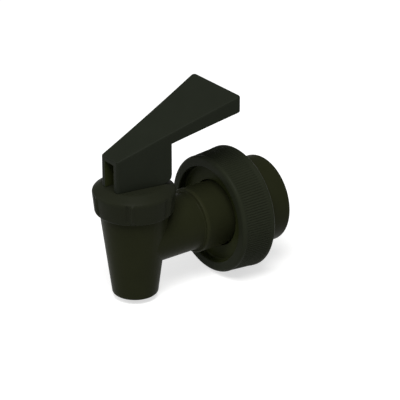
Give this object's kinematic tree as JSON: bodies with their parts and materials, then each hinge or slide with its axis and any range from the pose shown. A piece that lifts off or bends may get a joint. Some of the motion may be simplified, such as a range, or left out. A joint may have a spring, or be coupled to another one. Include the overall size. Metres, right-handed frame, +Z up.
{
  "type": "lever spigot",
  "caption": "Self-closing lever spigot of dark moulded plastic: tapered spout, screw bonnet, flared lever and a captive ribbed coupling nut on a plug-in tail.",
  "frame": {"origin": "on the inlet axis, at the tail plug's rear face", "axes": "+Z up along the spout and stem, +Y to the rear along the inlet axis, away from the spout"},
  "size_m": [0.0512, 0.0826, 0.0816],
  "materials": {
    "body_plastic": "satin moulded, black olive",
    "bonnet_plastic": "satin moulded, black olive",
    "handle_plastic": "satin moulded, black olive",
    "nut_plastic": "satin moulded, black olive",
    "stem_plastic": "natural white, moulded",
    "silicone": "milky translucent silicone",
    "gasket_rubber": "matte black rubber",
    "spring_steel": "drawn stainless wire",
    "pin_steel": "plain stainless pin"
  },
  "bodies": {
    "root": {"spout_body": "body_plastic", "bonnet": "bonnet_plastic", "retaining_flange": "body_plastic", "tail_plug": "body_plastic", "tail_gasket": "gasket_rubber"},
    "nut": {"coupling_nut": "nut_plastic"},
    "valve": {"seat_cup": "silicone", "return_spring": "spring_steel"},
    "stem": {"stem": "stem_plastic"},
    "lever": {"handle": "handle_plastic", "handle_pin": "pin_steel"}
  },
  "joints": [
    {"name": "nut_spin", "type": "hinge", "parent": "root", "child": "nut", "pos_m": [0, -0.0215, 0], "axis": [0, 1, 0], "continuous": true},
    {"name": "stem_lift", "type": "slide", "parent": "root", "child": "valve", "axis": [0, 0, 1], "range_m": [0, 0.0035], "stiffness_N_per_m": 40, "springref_m": -0.005, "deforming": ["seat_cup", "return_spring"]},
    {"name": "handle_swivel", "type": "hinge", "parent": "valve", "child": "stem", "pos_m": [0, -0.0655, 0.02], "axis": [0, 0, 1], "continuous": true},
    {"name": "handle_tilt", "type": "hinge", "parent": "stem", "child": "lever", "pos_m": [0, -0.0655, 0.0305], "axis": [-1, 0, 0], "range_deg": [0, 20]}
  ],
  "couplings": [
    {"joint": "handle_tilt", "follows": "stem_lift", "rad_per_m": 98}
  ]
}
